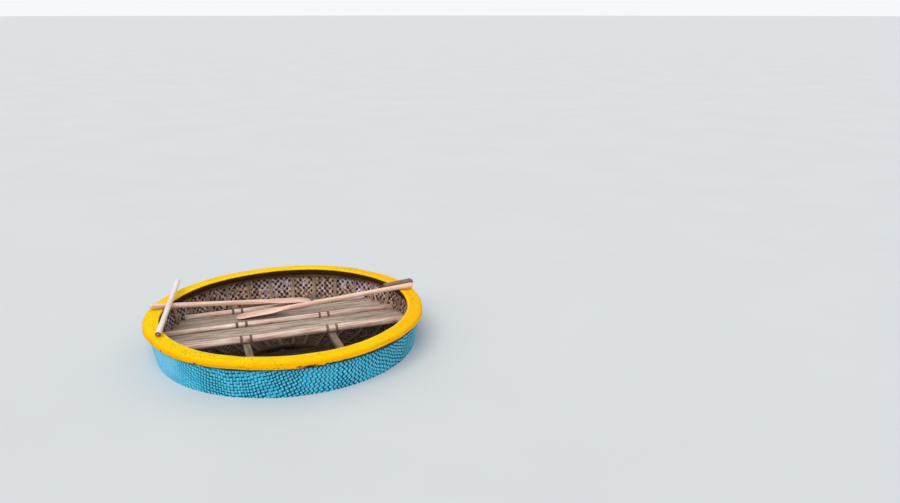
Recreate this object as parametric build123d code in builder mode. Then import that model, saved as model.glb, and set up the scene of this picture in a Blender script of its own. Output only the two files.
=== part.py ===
from build123d import *
import math
import os

os.makedirs("parts", exist_ok=True)

# A round basket boat. The origin is the hull's axis at the waterline, +Z is up, and +X runs
# along the bench, so -Y is the open foot space in front of it. All lengths are in millimetres.

# Hull
HULL_TOP_RADIUS = 987.0  # outside of the woven shell, where the rim sits on it
FLARE_WIDTH = 37.0  # how far the side leans out from the waterline up
BILGE_WIDTH = 210.0  # from the waterline in to where the bilge begins
BOTTOM_WIDTH = 440.0  # from there in to the flat middle of the bottom
BOTTOM_RISE = 52.0
DRAFT_DEPTH = 270.0
FREEBOARD_HEIGHT = 280.0  # top of the rim above the waterline
SHELL_THICKNESS = 14.0
BOTTOM_FACET_COUNT = 1  # straight steps that the bottom's arc is cut into
BILGE_FACET_COUNT = 3
SIDE_FACET_COUNT = 1

# Rim
RIM_OVERHANG = 38.0  # how far the rim stands out from the shell
RIM_WIDTH = 120.0
RIM_DEPTH = 55.0
RIM_BEVEL = 16.0  # on all four edges

# Ribs and hoops inside
RIB_WIDTH = 30.0
RIB_THICKNESS = 10.0
RIB_COUNT = 16  # of each length
LONG_RIB_FOOT = 150.0  # radius where the long ribs end under the floor
SHORT_RIB_FOOT = 430.0
RIB_TOP_GAP = 4.0  # below the rim
HOOP_THICKNESS = 14.0
HOOP_DEPTH = 30.0
LEDGE_THICKNESS = 26.0
LEDGE_DEPTH = 28.0

# Bench
SEAT_HEIGHT = 65.0  # top of the slats above the waterline
SLAT_THICKNESS = 18.0
BEAM_DEPTH = 45.0
BEAM_WIDTH = 50.0
BEAM_SPACING = 640.0
BEAM_LOWER_ROUND = 12.0
BEAM_UPPER_ROUND = 4.0
SLAT_ROUND = 5.0
REAR_POLE_OFFSET = 562.0
REAR_POLE_DIAMETER = 48.0

# Floor
FLOOR_HOOP_RADIUS = 440.0
FLOOR_HOOP_WIDTH = 34.0
FLOOR_HOOP_DEPTH = 16.0
FLOOR_SLAT_OVERHANG = 32.0  # beyond the hoop at each end
FLOOR_SLAT_WIDTH = 88.0
FLOOR_SLAT_PITCH = 112.0
FLOOR_SLAT_THICKNESS = 15.0
FLOOR_SLAT_COUNT = 5

# Loose gear
SHAFT_DIAMETER = 40.0
SHAFT_OVERHANG = 85.0  # beyond the rim's inner edge
POLE_DIAMETER = 38.0
POLE_LENGTH = 1000.0
POLE_ANGLE = 198.5  # where its near end lies on the rim
POLE_HEADING = 80.3
BLADE_LENGTH = 420.0
BLADE_WIDTH = 135.0
BLADE_THICKNESS = 16.0
BLADE_SHOULDER = 110.0  # length over which the blade widens
BLADE_TIP_DEPTH = 30.0
BLADE_TIP_RADIUS = 92.0
PLANK_LENGTH = 250.0
PLANK_WIDTH = 56.0
PLANK_THICKNESS = 24.0
PLANK_INSET = 88.0  # its middle, inwards from the rim's outer edge
PLANK_ANGLE = 11.2
PLANK_HEADING = 14.0

SEAT_GAP = 0.3  # between pieces that rest against a curved neighbour

# Places that follow from those sizes
HULL_WATER_RADIUS = HULL_TOP_RADIUS - FLARE_WIDTH
BILGE_RADIUS = HULL_WATER_RADIUS - BILGE_WIDTH
FLAT_RADIUS = BILGE_RADIUS - BOTTOM_WIDTH
RIM_RADIUS = HULL_TOP_RADIUS + RIM_OVERHANG
RIM_BOTTOM = FREEBOARD_HEIGHT - RIM_DEPTH
RIM_CREST_RADIUS = RIM_RADIUS - RIM_WIDTH + RIM_BEVEL
RIB_OUTSIDE = SHELL_THICKNESS + SEAT_GAP
RIB_INSIDE = RIB_OUTSIDE + RIB_THICKNESS
CAGE_INSIDE = RIB_INSIDE + SEAT_GAP
SLAT_BOTTOM = SEAT_HEIGHT - SLAT_THICKNESS
LEDGE_TOP = SLAT_BOTTOM - BEAM_DEPTH

# The hull's outer profile: a flat middle and three arcs, each tangent to what is below it
PROFILE_ARCS = [
    # radius and height where the arc ends, number of facets
    (BILGE_RADIUS, BOTTOM_RISE - DRAFT_DEPTH, BOTTOM_FACET_COUNT),
    (HULL_WATER_RADIUS, 0.0, BILGE_FACET_COUNT),
    (HULL_TOP_RADIUS, RIM_BOTTOM, SIDE_FACET_COUNT),
]


def profile(inset):
    """Points of the hull's profile from the axis up, moved inwards by inset."""
    start = Vector(FLAT_RADIUS, -DRAFT_DEPTH)
    heading = Vector(1, 0)
    points = [Vector(0, inset - DRAFT_DEPTH), start + Vector(0, inset)]
    for end_radius, end_height, facets in PROFILE_ARCS:
        end = Vector(end_radius, end_height)
        chord = end - start
        normal = Vector(-heading.Y, heading.X)
        radius = chord.dot(chord) / (2 * chord.dot(normal))
        centre = start + normal * radius
        turn = 2 * math.degrees(math.atan2(chord.dot(normal), chord.dot(heading)))
        for step in range(1, facets + 1):
            spoke = (start - centre).rotate(Axis.Z, turn * step / facets)
            points.append(centre + spoke * ((radius - inset) / radius))
        start = end
        heading = heading.rotate(Axis.Z, turn)
    return points


def radius_at(inset, height):
    """Radius of the inset profile at a height."""
    points = profile(inset)
    for low, high in zip(points, points[1:]):
        if low.Y <= height <= high.Y:
            break
    return low.X + (high.X - low.X) * (height - low.Y) / (high.Y - low.Y)


def height_at(inset, radius):
    """Height of the inset profile at a radius."""
    points = profile(inset)
    for near, far in zip(points, points[1:]):
        if near.X <= radius <= far.X:
            break
    return near.Y + (far.Y - near.Y) * (radius - near.X) / (far.X - near.X)


def wall_section(outside, inside):
    """Section of a layer of the wall between two insets, axis to rim."""
    with BuildSketch() as section:
        with BuildLine():
            Polyline(*profile(outside), *reversed(profile(inside)), close=True)
        make_face()
    return section.sketch


def band(outside, inside, low, high, foot=0.0, reach=RIM_RADIUS):
    """Part of a wall layer between two heights and between two radii."""
    with BuildSketch() as section:
        add(wall_section(outside, inside))
        with Locations((foot, low)):
            Rectangle(reach - foot, high - low, align=(Align.MIN, Align.MIN), mode=Mode.INTERSECT)
    return section.sketch


def finish(piece, label):
    piece.label = label
    export_step(piece, f"parts/{label}.step")


# Woven shell
with BuildPart() as hull_shell:
    with BuildSketch(Plane.XZ):
        add(band(0.0, SHELL_THICKNESS, -DRAFT_DEPTH, RIM_BOTTOM))
    revolve(axis=Axis.Z)
finish(hull_shell.part, "hull_shell")

# Rim: one thick hoop with bevelled edges, seated on the shell's top edge
with BuildPart() as rim:
    with BuildSketch(Plane.XZ) as rim_section:
        with Locations((RIM_RADIUS, RIM_BOTTOM)):
            Rectangle(RIM_WIDTH, RIM_DEPTH, align=(Align.MAX, Align.MIN))
        chamfer(rim_section.vertices(), RIM_BEVEL)
    revolve(axis=Axis.Z)
finish(rim.part, "rim")

# Ribs: bent battens against the shell, long and short by turns
RIBS = [
    # name, foot radius, turn in steps of the pattern
    ("ribs_long", LONG_RIB_FOOT, 0.0),
    ("ribs_short", SHORT_RIB_FOOT, 0.5),
]
for name, foot, turn in RIBS:
    with BuildPart() as rib:
        with BuildSketch(Plane.XZ):
            add(band(RIB_OUTSIDE, RIB_INSIDE, -DRAFT_DEPTH, RIM_BOTTOM - RIB_TOP_GAP, foot))
        extrude(amount=RIB_WIDTH / 2, both=True)
    with BuildPart() as ribs:
        with PolarLocations(0, RIB_COUNT, start_angle=turn * 360 / RIB_COUNT):
            add(rib.part)
    finish(ribs.part, name)

# Hoops inside the ribs: one under the rim, and the ledge that carries the bench
HOOPS = [
    # name, top, depth, thickness
    ("upper_hoop", RIM_BOTTOM - RIB_TOP_GAP, HOOP_DEPTH, HOOP_THICKNESS),
    ("bench_ledge", LEDGE_TOP, LEDGE_DEPTH, LEDGE_THICKNESS),
]
for name, top, depth, thickness in HOOPS:
    with BuildPart() as hoop:
        with BuildSketch(Plane.XZ):
            add(band(CAGE_INSIDE, CAGE_INSIDE + thickness, top - depth, top))
        revolve(axis=Axis.Z)
    finish(hoop.part, name)


def half_chord(height, offset):
    """Half the length of a straight piece between the ribs, at an offset from the middle."""
    return math.sqrt(radius_at(CAGE_INSIDE, height) ** 2 - offset**2)


# Crossbeams on the ledge
beam_half = half_chord(LEDGE_TOP, BEAM_SPACING / 2 + BEAM_WIDTH / 2)
for name, side in (("crossbeam_left", -1), ("crossbeam_right", 1)):
    with BuildPart() as beam:
        with BuildSketch(Plane.XZ.offset(-beam_half)):
            with Locations((side * BEAM_SPACING / 2, LEDGE_TOP)):
                Rectangle(BEAM_WIDTH, BEAM_DEPTH, align=(Align.CENTER, Align.MIN))
        extrude(amount=2 * beam_half)
        fillet(beam.edges().filter_by(Axis.Y).group_by(Axis.Z)[-1], BEAM_UPPER_ROUND)
        fillet(beam.edges().filter_by(Axis.Y).group_by(Axis.Z)[0], BEAM_LOWER_ROUND)
    finish(beam.part, name)

# Bench: flat slats and round poles side by side on the beams
SLATS = [
    # name, middle from the axis, width
    ("bench_slat_1", 25.0, 70.0),
    ("bench_slat_2", 106.0, 78.0),
    ("bench_slat_3", 188.0, 66.0),
    ("bench_slat_4", 326.0, 72.0),
    ("bench_slat_5", 410.0, 80.0),
    ("bench_slat_6", 492.0, 68.0),
]
for name, offset, width in SLATS:
    half = half_chord(SLAT_BOTTOM, offset + width / 2)
    with BuildPart() as slat:
        with BuildSketch(Plane.YZ.offset(-half)):
            with Locations((offset, SLAT_BOTTOM)):
                Rectangle(width, SLAT_THICKNESS, align=(Align.CENTER, Align.MIN))
        extrude(amount=2 * half)
        fillet(slat.edges().filter_by(Axis.X).group_by(Axis.Z)[-1], SLAT_ROUND)
    finish(slat.part, name)

POLES = [
    # name, middle from the axis, diameter
    ("bench_pole_front", -50.0, 55.0),
    ("bench_pole_middle", 256.0, 46.0),
    ("bench_pole_rear", REAR_POLE_OFFSET, REAR_POLE_DIAMETER),
]
for name, offset, diameter in POLES:
    half = half_chord(SLAT_BOTTOM, abs(offset) + diameter / 2)
    with BuildPart() as pole:
        with BuildSketch(Plane.YZ.offset(-half)):
            with Locations((offset, SLAT_BOTTOM + diameter / 2)):
                Circle(diameter / 2)
        extrude(amount=2 * half)
    finish(pole.part, name)

# Floor: a low hoop on the ribs, with slats across it
floor_level = height_at(CAGE_INSIDE, FLOOR_HOOP_RADIUS) + FLOOR_HOOP_DEPTH
floor_hoop_section = band(
    CAGE_INSIDE,
    CAGE_INSIDE + FLOOR_HOOP_DEPTH + BOTTOM_RISE,
    -DRAFT_DEPTH,
    floor_level,
    FLOOR_HOOP_RADIUS - FLOOR_HOOP_WIDTH,
    FLOOR_HOOP_RADIUS,
)
with BuildPart() as floor_hoop:
    with BuildSketch(Plane.XZ):
        add(floor_hoop_section)
    revolve(axis=Axis.Z)
finish(floor_hoop.part, "floor_hoop")

for number in range(FLOOR_SLAT_COUNT):
    offset = (number - (FLOOR_SLAT_COUNT - 1) / 2) * FLOOR_SLAT_PITCH
    half = math.sqrt(FLOOR_HOOP_RADIUS**2 - offset**2) + FLOOR_SLAT_OVERHANG
    with BuildPart() as floor_slat:
        with BuildSketch(Plane.XY.offset(floor_level)):
            with Locations((0, offset)):
                Rectangle(2 * half, FLOOR_SLAT_WIDTH)
        extrude(amount=FLOOR_SLAT_THICKNESS)
    finish(floor_slat.part, f"floor_slat_{number + 1}")


def rod_plane(start, end):
    """Plane at the start of a rod, with its normal along the rod and its Y axis upwards."""
    along = (end - start).normalized()
    return Plane(origin=start, x_dir=Vector(0, 0, 1).cross(along), z_dir=along)


def place_on_rim(angle):
    """Height-less point above the inner edge of the rim's flat top."""
    return Vector(RIM_CREST_RADIUS, 0).rotate(Axis.Z, angle)


def laid_rod(angle, tip, tip_height, radius):
    """Start and end of a rod's axis that leans on the rim's inner edge and comes down to tip."""
    crossing = place_on_rim(angle)
    run = Vector(*tip) - crossing
    slope = math.atan2(FREEBOARD_HEIGHT + radius - tip_height, run.length)
    height = FREEBOARD_HEIGHT + radius / math.cos(slope) + SEAT_GAP
    crossing = crossing + Vector(0, 0, height)
    end = Vector(*tip, tip_height)
    start = crossing - (end - crossing).normalized() * SHAFT_OVERHANG
    return start, end


# Paddles: a round shaft with a flat blade, laid from the rim down to the bench
blade_rest = BLADE_THICKNESS / 2 + SEAT_GAP
PADDLES = [
    # name, angle of its place on the rim, tip of the blade (x, y), height of what the tip lies on
    ("paddle_right", 4.0, (-340.0, 440.0), SEAT_HEIGHT),
    ("paddle_left", 163.8, (265.0, REAR_POLE_OFFSET), SLAT_BOTTOM + REAR_POLE_DIAMETER),
]
paddle_axes = {}
for name, angle, place, support in PADDLES:
    top, tip = laid_rod(angle, place, support + blade_rest, SHAFT_DIAMETER / 2)
    paddle_axes[name] = (top, tip)
    length = (tip - top).length
    across = rod_plane(top, tip)
    with BuildPart() as shaft:
        with BuildSketch(across):
            Circle(SHAFT_DIAMETER / 2)
        extrude(amount=length - BLADE_LENGTH)
    finish(shaft.part, name + "_shaft")
    with BuildPart() as blade:
        with BuildSketch(Plane(origin=tip, x_dir=across.x_dir, z_dir=across.y_dir)):
            with BuildLine():
                side = Polyline(
                    (0, BLADE_LENGTH),
                    (SHAFT_DIAMETER / 2, BLADE_LENGTH),
                    (BLADE_WIDTH / 2, BLADE_LENGTH - BLADE_SHOULDER),
                    (BLADE_WIDTH / 2, BLADE_TIP_DEPTH),
                )
                RadiusArc(side @ 1, (0, 0), BLADE_TIP_RADIUS)
                mirror(about=Plane.YZ)
            make_face()
        extrude(amount=BLADE_THICKNESS / 2, both=True)
    finish(blade.part, name + "_blade")

# Spare pole, with its near end on the rim, leaning on the left paddle's shaft
pole_radius = POLE_DIAMETER / 2
near_end = Vector(RIM_RADIUS - RIM_WIDTH / 2, 0).rotate(Axis.Z, POLE_ANGLE)
near_end = near_end + Vector(0, 0, FREEBOARD_HEIGHT + pole_radius + SEAT_GAP)
heading = Vector(1, 0).rotate(Axis.Z, POLE_HEADING)
top, tip = paddle_axes["paddle_left"]
fall = tip - top
gap = near_end - top
share = (gap.X * heading.Y - gap.Y * heading.X) / (fall.X * heading.Y - fall.Y * heading.X)
crossing = top + fall * share
spacing = SHAFT_DIAMETER / 2 + pole_radius
square_to_both = fall.cross(crossing + Vector(0, 0, spacing) - near_end).normalized()
rest = crossing + Vector(0, 0, (spacing + SEAT_GAP) / abs(square_to_both.Z))
with BuildPart() as spare_pole:
    with BuildSketch(rod_plane(near_end, rest)):
        Circle(pole_radius)
    extrude(amount=POLE_LENGTH)
finish(spare_pole.part, "spare_pole")

# Oar rest: a short plank lying across the rim
plank_middle = Vector(RIM_RADIUS - PLANK_INSET, 0).rotate(Axis.Z, PLANK_ANGLE)
with BuildPart() as oar_rest:
    with BuildSketch(Plane.XY.offset(FREEBOARD_HEIGHT)):
        with Locations((plank_middle.X, plank_middle.Y)):
            Rectangle(PLANK_LENGTH, PLANK_WIDTH, rotation=PLANK_HEADING)
    extrude(amount=PLANK_THICKNESS)
finish(oar_rest.part, "oar_rest")
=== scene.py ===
import math

import bmesh
import bpy
import numpy as np
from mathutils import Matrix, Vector


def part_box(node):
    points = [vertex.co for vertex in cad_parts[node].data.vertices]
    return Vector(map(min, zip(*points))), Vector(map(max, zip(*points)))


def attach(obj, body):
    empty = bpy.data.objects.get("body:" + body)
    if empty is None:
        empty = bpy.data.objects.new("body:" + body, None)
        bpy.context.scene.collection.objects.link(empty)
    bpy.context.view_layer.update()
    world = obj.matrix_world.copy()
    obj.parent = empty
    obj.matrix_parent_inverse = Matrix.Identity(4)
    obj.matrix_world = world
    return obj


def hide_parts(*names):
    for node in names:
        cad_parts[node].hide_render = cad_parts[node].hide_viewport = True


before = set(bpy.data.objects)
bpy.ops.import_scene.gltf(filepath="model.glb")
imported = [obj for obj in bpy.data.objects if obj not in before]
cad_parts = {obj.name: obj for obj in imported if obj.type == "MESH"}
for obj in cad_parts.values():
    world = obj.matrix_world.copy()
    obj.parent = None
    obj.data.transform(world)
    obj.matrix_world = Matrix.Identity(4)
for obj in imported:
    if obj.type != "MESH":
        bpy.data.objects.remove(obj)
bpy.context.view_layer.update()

# The coracle's sizes, in metres, as in the part's source
TOP_RADIUS = 0.987
WATER_RADIUS = 0.950
BILGE_RADIUS = 0.740
FLAT_RADIUS = 0.300
DRAFT = 0.270
BOTTOM_RISE = 0.052
FREEBOARD = 0.280
RIM_RADIUS = 1.025
RIM_WIDTH = 0.120
RIM_DEPTH = 0.055
RIM_BOTTOM = FREEBOARD - RIM_DEPTH
RIM_OUTER_ROUND = 0.025
RIM_INNER_ROUND = 0.016
SHELL = 0.014
RIB_WIDTH = 0.030
RIB_THICKNESS = 0.010
RIB_MIDDLE = 0.0193  # from the hull's outside to the ribs' middle
CAGE = 0.0246  # from the hull's outside to the ribs' inside
RIBS = 16
SEAT_TOP = 0.065
SLAT_THICKNESS = 0.018
SLAT_BOTTOM = SEAT_TOP - SLAT_THICKNESS
BEAM_DEPTH = 0.045
BEAM_WIDTH = 0.050
BEAM_OFFSET = 0.320
LEDGE_TOP = SLAT_BOTTOM - BEAM_DEPTH
LEDGE_DEPTH = 0.028
LEDGE_WIDTH = 0.026
UPPER_HOOP_TOP = RIM_BOTTOM - 0.004
UPPER_HOOP_LOW = RIM_BOTTOM - 0.034
UPPER_HOOP_WIDTH = 0.014
FLOOR_HOOP_RADIUS = 0.440
FLOOR_HOOP_WIDTH = 0.034
FLOOR_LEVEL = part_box("floor_hoop")[1][2]
FLOOR_SLATS = 5
FLOOR_SLAT_PITCH = 0.112
FLOOR_SLAT_WIDTH = 0.088
FLOOR_SLAT_THICKNESS = 0.015
FLOOR_SLAT_OVERHANG = 0.032
TAU = 2 * math.pi
UP = np.array([0, 0, 1.0])

# The woven mat that was pressed into the bowl
STRAND = 0.0255
MAT_TURN = math.radians(238.5)  # where round the hull its strands run level
SKIN_MIDDLE = 0.0075  # from the hull's outside to where skin and lining meet inside the shell


def add_object(name, data):
    thing = bpy.data.objects.new(name, data)
    bpy.context.scene.collection.objects.link(thing)
    return thing


# Camera: the photograph's, 32 mm lens, 16.8 degrees down, boat turned 20 degrees
camera_data = bpy.data.cameras.new("camera")
camera_data.sensor_width = 36.0
camera_data.lens = 32.0
camera = add_object("camera", camera_data)
camera.location = (-0.7746, -5.7010, 2.399)
camera.rotation_euler = (math.radians(90 - 16.772), 0, math.radians(-20))
bpy.context.scene.camera = camera


# Mesh building
class Builder:
    """Collects points, faces and a grain coordinate for each face corner."""

    def __init__(self, seed):
        self.points, self.worn, self.faces, self.grain, self.slots = [], [], [], [], []
        self.count = 0
        self.random = np.random.default_rng(seed)

    def add(self, points, worn=0.0):
        """Adds points, says how worn they are and returns the first one's number."""
        points = np.asarray(points, float).reshape(-1, 3)
        first = self.count
        self.points.append(points)
        self.worn.append(np.broadcast_to(np.ravel(worn).astype(float), len(points)))
        self.count += len(points)
        return first

    def put(self, faces, grain, slot=0):
        self.faces.append(np.asarray(faces))
        self.grain.append(np.asarray(grain, float).reshape(-1, 3))
        self.slots.append(np.full(len(faces), slot))

    def make(self, name, materials, slot, nodes=(), sharp=None):
        mesh = bpy.data.meshes.new(name)
        faces = [row for block in self.faces for row in block.tolist()]
        mesh.from_pydata(np.concatenate(self.points).tolist(), [], faces)
        for material in materials:
            mesh.materials.append(material)
        mesh.polygons.foreach_set("material_index", np.concatenate(self.slots).astype(np.int32))
        mesh.polygons.foreach_set("use_smooth", np.ones(len(faces), bool))
        grain = mesh.attributes.new("grain", "FLOAT_VECTOR", "CORNER")
        grain.data.foreach_set("vector", np.concatenate(self.grain).astype(np.float32).ravel())
        worn = mesh.attributes.new("worn", "FLOAT", "POINT")
        worn.data.foreach_set("value", np.concatenate(self.worn).astype(np.float32))
        # every closed form faces outwards
        form = bmesh.new()
        form.from_mesh(mesh)
        bmesh.ops.recalc_face_normals(form, faces=form.faces)
        form.to_mesh(mesh)
        form.free()
        if sharp:
            mesh.set_sharp_from_angle(angle=math.radians(sharp))
        mesh.update()
        piece = add_object(name, mesh)
        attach(piece, "root")
        if nodes:
            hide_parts(*nodes)
        return piece


def ring_faces(rows, columns, closed=False):
    """Point numbers of the quads between rows of points, each row a ring."""
    i, j = np.arange(rows if closed else rows - 1)[:, None], np.arange(columns)[None, :]
    here, below, beside = i * columns, (i + 1) % rows * columns, (j + 1) % columns
    return np.stack([here + j, here + beside, below + beside, below + j], -1)


def grid(b, points, grain, worn=0.0, slot=0, closed=False):
    """Quads between rows of points. closed joins the last row to the first.

    grain has one column, and one row if closed, more than points, so that it never runs backwards."""
    rows, columns = points.shape[:2]
    first = b.add(points, worn)
    faces = first + ring_faces(rows, columns, closed)
    i, j = np.arange(len(faces))[:, None], np.arange(columns)[None, :]
    corners = np.stack([grain[i, j], grain[i, j + 1], grain[i + 1, j + 1], grain[i + 1, j]], -2)
    b.put(faces.reshape(-1, 4), corners, slot)
    return first


def bridge(b, outer, inner, grain_outer, grain_inner, slot=0):
    """Triangles and quads between a ring and one of fewer points, or a single middle point."""
    outer, inner = np.asarray(outer), np.asarray(inner)
    here, ratio = np.arange(len(outer)), len(outer) // len(inner)
    near, far = here // ratio, (here + 1) // ratio
    near_id, far_id = near % len(inner), far % len(inner)
    faces = np.stack([outer, np.roll(outer, -1), inner[far_id], inner[near_id]], 1)
    spots = np.stack([grain_outer[here], grain_outer[here + 1], grain_inner[far], grain_inner[near]], 1)
    for chosen, corners in ((near_id == far_id, [0, 1, 3]), (near_id != far_id, [0, 1, 2, 3])):
        if chosen.any():
            b.put(faces[chosen][:, corners], spots[chosen][:, corners], slot)


def smooth(value):
    value = np.clip(value, 0, 1)
    return value * value * (3 - 2 * value)


def waves(theta, seed, low=1, high=7):
    """A smooth wave round the hull, about -1 to 1, the same at both ends of a turn."""
    random = np.random.default_rng(seed)
    total = np.zeros_like(theta)
    scale = 0.0
    for k in range(low, high + 1):
        size = random.normal() / math.sqrt(k)
        total += size * np.sin(k * theta + random.uniform(0, TAU))
        scale += size * size / 2
    return total / (2 * math.sqrt(scale) + 1e-9)


def noise(x, seed, step):
    """A smooth random wave along a length, about -1 to 1."""
    random = np.random.default_rng(seed)
    x = np.asarray(x, float) / step
    low = int(math.floor(x.min())) - 1
    values = random.uniform(-1, 1, int(x.max() - low) + 4)
    i = np.floor(x).astype(int) - low
    f = smooth(x - np.floor(x))
    return values[i] * (1 - f) + values[i + 1] * f


def bell(distance, reach):
    """1 at distance 0, falling smoothly to nothing beyond reach."""
    return np.exp(-((distance / reach) ** 2))


def unit(vector):
    return vector / np.linalg.norm(vector)


# The hull's smooth profile: a flat middle and three arcs, from the rim down to the axis
def hull_profile():
    start, heading = np.array([FLAT_RADIUS, -DRAFT]), 0.0
    points = [np.array([[x, -DRAFT] for x in np.linspace(0, FLAT_RADIUS, 150, endpoint=False)])]
    headings = [np.zeros(150)]
    for end in ((BILGE_RADIUS, BOTTOM_RISE - DRAFT), (WATER_RADIUS, 0.0), (TOP_RADIUS, RIM_BOTTOM)):
        chord = np.array(end) - start
        turn = 2 * (math.atan2(chord[1], chord[0]) - heading)
        radius = np.hypot(*chord) / (2 * math.sin(turn / 2))
        angles = heading + np.linspace(0, turn, 160)
        centre = start + radius * np.array([-math.sin(heading), math.cos(heading)])
        points.append(centre + radius * np.stack([np.sin(angles), -np.cos(angles)], 1))
        headings.append(angles)
        start, heading = np.array(end), heading + turn
    points = np.concatenate(points)[::-1]
    headings = np.concatenate(headings)[::-1]
    steps = np.hypot(*np.diff(points, axis=0).T)
    return np.concatenate([[0], np.cumsum(steps)]), points, headings


PROFILE_S, PROFILE_POINTS, PROFILE_HEADINGS = hull_profile()
PROFILE_LENGTH = PROFILE_S[-1]


def on_profile(s, inset):
    """Radius and height at a distance down from the rim, moved inwards by inset."""
    heading = np.interp(s, PROFILE_S, PROFILE_HEADINGS)
    radius = np.interp(s, PROFILE_S, PROFILE_POINTS[:, 0]) - inset * np.sin(heading)
    height = np.interp(s, PROFILE_S, PROFILE_POINTS[:, 1]) + inset * np.cos(heading)
    return np.maximum(radius, 0.0), height


def s_at_height(height, inset=0.0):
    """Distance down from the rim where the inset profile has this height."""
    s = np.linspace(0, PROFILE_LENGTH, 2000)
    return float(np.interp(-height, -on_profile(s, inset)[1], s))


def s_at_radius(radius, inset=0.0):
    """Distance down from the rim where the inset profile has this radius."""
    s = np.linspace(0, PROFILE_LENGTH, 2000)
    return float(np.interp(-radius, -on_profile(s, inset)[0], s))


def height_at_radius(radius, inset):
    return float(on_profile(s_at_radius(radius, inset), inset)[1])


def wall_radius(height):
    """Radius of the inside of the ribs at a height."""
    return float(on_profile(s_at_height(height, CAGE), CAGE)[0])


def half_chord(height, offset):
    """Half the space between the ribs at a height, on a line past the axis."""
    return math.sqrt(wall_radius(height) ** 2 - offset**2)


def round_points(theta, radius, height):
    return np.stack(np.broadcast_arrays(radius * np.cos(theta), radius * np.sin(theta), height), -1)


def round_numbers(count):
    """Angles of a ring of points."""
    return np.arange(count) * TAU / count


def round_section(radius, sides):
    return radius * round_points(round_numbers(sides), 1.0, 0.0)[:, :2]


def plain_grain(columns, girth, s):
    """Grain of plain rings: the way round, girth in all, and the distance s down the profile."""
    grain = np.zeros((len(s), columns + 1, 3))
    grain[..., 0] = np.arange(columns + 1) * girth / columns
    grain[..., 1] = s
    return grain


# Materials
class Signal:
    """What a node puts out, with plain arithmetic."""

    def __init__(self, shader, socket):
        self.shader = shader
        self.socket = socket

    def __add__(self, other):
        return self.shader.math("ADD", self, other)

    def __sub__(self, other):
        return self.shader.math("SUBTRACT", self, other)

    def __rsub__(self, other):
        return self.shader.math("SUBTRACT", other, self)

    def __mul__(self, other):
        return self.shader.math("MULTIPLY", self, other)

    def __truediv__(self, other):
        return self.shader.math("DIVIDE", self, other)

    def __abs__(self):
        return self.shader.math("ABSOLUTE", self)


class Nodes:
    """A node tree with a few shorthands."""

    def __init__(self, tree):
        self.tree = tree

    def set(self, socket, value):
        if isinstance(value, Signal):
            self.tree.links.new(value.socket, socket)
        else:
            socket.default_value = value

    def node(self, kind, output, inputs=None, **settings):
        """A new node with its settings, its inputs set or linked, and what it puts out."""
        node = self.tree.nodes.new("ShaderNode" + kind)
        for key, value in settings.items():
            setattr(node, key, value)
        for key, value in (inputs or {}).items():
            self.set(node.inputs[key], value)
        return Signal(self, node.outputs[output])

    def math(self, operation, a, b=0.0):
        return self.node("Math", 0, {0: a, 1: b}, operation=operation)


class Shader(Nodes):
    """A surface material, with its piece's place, grain and wear."""

    def __init__(self, name, **settings):
        self.material = bpy.data.materials.new(name)
        self.material.use_nodes = True
        super().__init__(self.material.node_tree)
        self.surface = self.tree.nodes["Principled BSDF"]
        for key, value in settings.items():
            self.surface.inputs[key.replace("_", " ")].default_value = value
        self.place = self.node("TexCoord", "Object")
        self.grain = self.node("Attribute", "Vector", attribute_name="grain")
        self.worn = self.node("Attribute", "Fac", attribute_name="worn")

    def scaled(self, vector, scale, offset=(0, 0, 0), turn=0.0):
        inputs = {"Vector": vector, "Scale": scale, "Location": offset, "Rotation": (0, 0, turn)}
        return self.node("Mapping", "Vector", inputs)

    def split(self, vector):
        node = self.node("SeparateXYZ", 0, {"Vector": vector}).socket.node
        return [Signal(self, output) for output in node.outputs]

    def noise(self, scale, detail=4.0, roughness=0.55, distortion=0.0, offset=(0, 0, 0)):
        """Noise over the place, or along the grain where scale has three numbers."""
        vector = self.place
        if isinstance(scale, tuple):
            vector, scale = self.scaled(self.grain, scale, offset), 1.0
        inputs = {"Vector": vector, "Scale": scale, "Detail": detail, "Roughness": roughness}
        return self.node("TexNoise", "Fac", {**inputs, "Distortion": distortion})

    def ramp(self, value, low, high, start=0.0, end=1.0):
        inputs = {"Value": value, "From Min": low, "From Max": high, "To Min": start, "To Max": end}
        return self.node("MapRange", "Result", inputs, interpolation_type="SMOOTHSTEP")

    def ragged(self, value, scale, detail, reach):
        """value with noise added, reach in all."""
        return value + (self.noise(scale, detail) - 0.5) * reach

    def choose(self, factor, a, b):
        """a where factor is 0, b where it is 1."""
        return a + factor * (b - a)

    def layers(self, color, *coats):
        """A colour with coats over it in turn, each of them how much it covers and its colour."""
        for factor, coat in coats:
            before = color if isinstance(color, Signal) else (*color, 1.0)
            inputs = {"Factor": factor, "A": before, "B": (*coat, 1.0)}
            color = self.node("Mix", "Result", inputs, data_type="RGBA")
        return color

    def finish(self, color, roughness, *bumps):
        """Ends the material. Each bump is a height, its strength and its distance."""
        before = {}
        for height, strength, distance in bumps:
            inputs = {"Height": height, "Strength": strength, "Distance": distance}
            before = {"Normal": self.node("Bump", "Normal", {**inputs, **before})}
        for key, value in {"Base Color": color, "Roughness": roughness, **before}.items():
            self.set(self.surface.inputs[key], value)
        return self.material


def srgb(red, green, blue):
    """A colour as it shows, turned into the linear numbers that shaders take."""
    return tuple(c / 12.92 if c <= 0.04045 else ((c + 0.055) / 1.055) ** 2.4 for c in (red, green, blue))


def dim(color, share):
    return tuple(share * c for c in color)


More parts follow.
